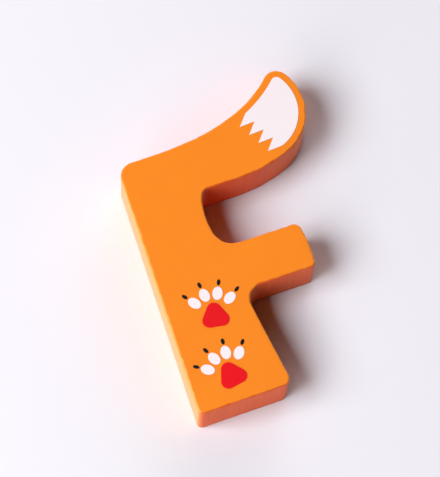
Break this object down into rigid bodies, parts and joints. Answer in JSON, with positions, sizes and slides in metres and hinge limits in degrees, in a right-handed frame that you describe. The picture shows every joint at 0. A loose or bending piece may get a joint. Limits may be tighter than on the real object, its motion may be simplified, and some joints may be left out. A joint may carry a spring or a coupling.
{
  "type": "wooden letter",
  "caption": "Painted wooden letter F on a thick board with rounded edges, its top arm cut as a curled tail, printed with a white tail tip and paw prints.",
  "frame": {"origin": "on the surface the letter lies on, under the middle of its bounding box", "axes": "+X to the letter's right as it is read, +Y up the letter from its foot, +Z out of the printed face"},
  "size_m": [0.0688, 0.1022, 0.0151],
  "materials": {
    "orange_paint": "satin to gloss paint on solid wood",
    "white_ink": "satin printed ink",
    "red_ink": "satin printed ink",
    "black_ink": "satin printed ink"
  },
  "bodies": {
    "root": {"letter_body": "orange_paint", "tail_tip": "white_ink", "lower_paw_pad": "red_ink", "lower_paw_toe_1": "white_ink", "lower_paw_toe_2": "white_ink", "lower_paw_toe_3": "white_ink", "lower_paw_toe_4": "white_ink", "lower_paw_claw_1": "black_ink", "lower_paw_claw_2": "black_ink", "lower_paw_claw_3": "black_ink", "lower_paw_claw_4": "black_ink", "upper_paw_pad": "red_ink", "upper_paw_toe_1": "white_ink", "upper_paw_toe_2": "white_ink", "upper_paw_toe_3": "white_ink", "upper_paw_toe_4": "white_ink", "upper_paw_claw_1": "black_ink", "upper_paw_claw_2": "black_ink", "upper_paw_claw_3": "black_ink", "upper_paw_claw_4": "black_ink"}
  },
  "joints": []
}
